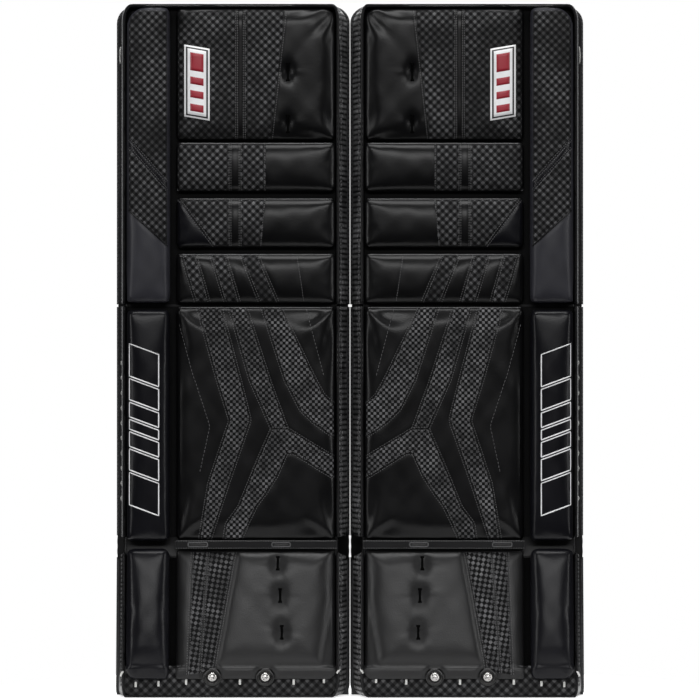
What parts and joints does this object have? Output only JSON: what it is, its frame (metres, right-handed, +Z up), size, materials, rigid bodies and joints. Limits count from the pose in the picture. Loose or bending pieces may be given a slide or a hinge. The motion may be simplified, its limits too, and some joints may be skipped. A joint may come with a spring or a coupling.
{
  "type": "goalie leg pads",
  "caption": "Pair of mirrored padded leg guards in black leather, each hinged at knee and boot, with rolls, wings, landing blocks and straps.",
  "frame": {"origin": "on the floor, midway between the two pads and halfway through their depth", "axes": "+Z up; the padded faces look along -Y; the wearer's left pad stands at +X"},
  "size_m": [0.5608, 0.2037, 0.827],
  "materials": {
    "foam": "closed-cell foam",
    "stiffener": "satin",
    "side_leather": "synthetic leather, fine grain, satin",
    "face_leather": "synthetic leather, fine grain, satin",
    "roll_leather": "synthetic leather, fine grain, satin",
    "landing_leather": "synthetic suede, matte",
    "wing_leather": "synthetic leather, matte",
    "bridge_leather": "thick strap leather, waxed",
    "webbing": "woven nylon",
    "fastener_steel": "zinc-plated, satin",
    "washer_rubber": "matte"
  },
  "bodies": {
    "left_thigh": {"left_thigh_core": "foam", "left_thigh_board": "stiffener", "left_thigh_casing": "side_leather", "left_thigh_face": "face_leather", "left_knee_roll_upper": "face_leather", "left_knee_roll_middle": "face_leather", "left_knee_roll_lower": "face_leather", "left_thigh_outer_roll": "roll_leather", "left_knee_stack": "landing_leather"},
    "left_knee_wing": {"left_knee_wing": "wing_leather"},
    "left_knee_strap": {"left_knee_strap": "webbing"},
    "left_shin": {"left_shin_core": "foam", "left_shin_board": "stiffener", "left_shin_casing": "side_leather", "left_shin_face": "face_leather", "left_shin_outer_roll": "roll_leather", "left_calf_landing": "landing_leather"},
    "left_calf_wing": {"left_calf_wing": "wing_leather"},
    "left_upper_calf_strap": {"left_upper_calf_strap": "webbing"},
    "left_lower_calf_strap": {"left_lower_calf_strap": "webbing"},
    "left_boot": {"left_boot_core": "foam", "left_boot_casing": "side_leather", "left_boot_face": "face_leather", "left_boot_outer_roll": "roll_leather", "left_boot_wings": "wing_leather", "left_toe_bridge": "bridge_leather", "left_toe_bolts": "fastener_steel", "left_toe_washers": "washer_rubber", "left_toe_nuts": "fastener_steel"},
    "left_boot_strap": {"left_boot_strap": "webbing"},
    "right_thigh": {"right_thigh_core": "foam", "right_thigh_board": "stiffener", "right_thigh_casing": "side_leather", "right_thigh_face": "face_leather", "right_knee_roll_upper": "face_leather", "right_knee_roll_middle": "face_leather", "right_knee_roll_lower": "face_leather", "right_thigh_outer_roll": "roll_leather", "right_knee_stack": "landing_leather"},
    "right_knee_wing": {"right_knee_wing": "wing_leather"},
    "right_knee_strap": {"right_knee_strap": "webbing"},
    "right_shin": {"right_shin_core": "foam", "right_shin_board": "stiffener", "right_shin_casing": "side_leather", "right_shin_face": "face_leather", "right_shin_outer_roll": "roll_leather", "right_calf_landing": "landing_leather"},
    "right_calf_wing": {"right_calf_wing": "wing_leather"},
    "right_upper_calf_strap": {"right_upper_calf_strap": "webbing"},
    "right_lower_calf_strap": {"right_lower_calf_strap": "webbing"},
    "right_boot": {"right_boot_core": "foam", "right_boot_casing": "side_leather", "right_boot_face": "face_leather", "right_boot_outer_roll": "roll_leather", "right_boot_wings": "wing_leather", "right_toe_bridge": "bridge_leather", "right_toe_bolts": "fastener_steel", "right_toe_washers": "washer_rubber", "right_toe_nuts": "fastener_steel"},
    "right_boot_strap": {"right_boot_strap": "webbing"}
  },
  "joints": [
    {"name": "pads_apart", "type": "slide", "parent": "right_shin", "child": "left_shin", "axis": [1, 0, 0], "range_m": [0, 0.4]},
    {"name": "left_knee_flex", "type": "hinge", "parent": "left_shin", "child": "left_thigh", "pos_m": [0.1407, -0.00675, 0.467], "axis": [-1, 0, 0], "range_deg": [0, 20], "stiffness_Nm_per_rad": 14},
    {"name": "left_boot_flex", "type": "hinge", "parent": "left_shin", "child": "left_boot", "pos_m": [0.1407, -0.06565, 0.181], "axis": [1, 0, 0], "range_deg": [-15, 10], "stiffness_Nm_per_rad": 40},
    {"name": "left_knee_wing_open", "type": "hinge", "parent": "left_thigh", "child": "left_knee_wing", "pos_m": [0.2764, -0.00645, 0.555], "axis": [0, 0, -1], "range_deg": [0, 75]},
    {"name": "left_calf_wing_open", "type": "hinge", "parent": "left_shin", "child": "left_calf_wing", "pos_m": [0.2764, -0.00645, 0.318], "axis": [0, 0, -1], "range_deg": [0, 75]},
    {"name": "left_knee_strap_open", "type": "hinge", "parent": "left_knee_wing", "child": "left_knee_strap", "pos_m": [0.2424, 0.09885, 0.548], "axis": [0, 0, -1], "range_deg": [0, 60]},
    {"name": "left_upper_calf_strap_open", "type": "hinge", "parent": "left_calf_wing", "child": "left_upper_calf_strap", "pos_m": [0.2424, 0.08585, 0.386], "axis": [0, 0, -1], "range_deg": [0, 60]},
    {"name": "left_lower_calf_strap_open", "type": "hinge", "parent": "left_calf_wing", "child": "left_lower_calf_strap", "pos_m": [0.2424, 0.08585, 0.262], "axis": [0, 0, -1], "range_deg": [0, 60]},
    {"name": "left_boot_strap_open", "type": "hinge", "parent": "left_boot", "child": "left_boot_strap", "pos_m": [0.2424, 0.05875, 0.08023], "axis": [0, -0.1426, -0.9898], "range_deg": [0, 60]},
    {"name": "right_knee_flex", "type": "hinge", "parent": "right_shin", "child": "right_thigh", "pos_m": [-0.1407, -0.00675, 0.467], "axis": [-1, 0, 0], "range_deg": [0, 20], "stiffness_Nm_per_rad": 14},
    {"name": "right_boot_flex", "type": "hinge", "parent": "right_shin", "child": "right_boot", "pos_m": [-0.1407, -0.06565, 0.181], "axis": [1, 0, 0], "range_deg": [-15, 10], "stiffness_Nm_per_rad": 40},
    {"name": "right_knee_wing_open", "type": "hinge", "parent": "right_thigh", "child": "right_knee_wing", "pos_m": [-0.2764, -0.00645, 0.555], "axis": [0, 0, 1], "range_deg": [0, 75]},
    {"name": "right_calf_wing_open", "type": "hinge", "parent": "right_shin", "child": "right_calf_wing", "pos_m": [-0.2764, -0.00645, 0.318], "axis": [0, 0, 1], "range_deg": [0, 75]},
    {"name": "right_knee_strap_open", "type": "hinge", "parent": "right_knee_wing", "child": "right_knee_strap", "pos_m": [-0.2424, 0.09885, 0.548], "axis": [0, 0, 1], "range_deg": [0, 60]},
    {"name": "right_upper_calf_strap_open", "type": "hinge", "parent": "right_calf_wing", "child": "right_upper_calf_strap", "pos_m": [-0.2424, 0.08585, 0.386], "axis": [0, 0, 1], "range_deg": [0, 60]},
    {"name": "right_lower_calf_strap_open", "type": "hinge", "parent": "right_calf_wing", "child": "right_lower_calf_strap", "pos_m": [-0.2424, 0.08585, 0.262], "axis": [0, 0, 1], "range_deg": [0, 60]},
    {"name": "right_boot_strap_open", "type": "hinge", "parent": "right_boot", "child": "right_boot_strap", "pos_m": [-0.2424, 0.05875, 0.08023], "axis": [0, 0.1426, 0.9898], "range_deg": [0, 60]}
  ]
}
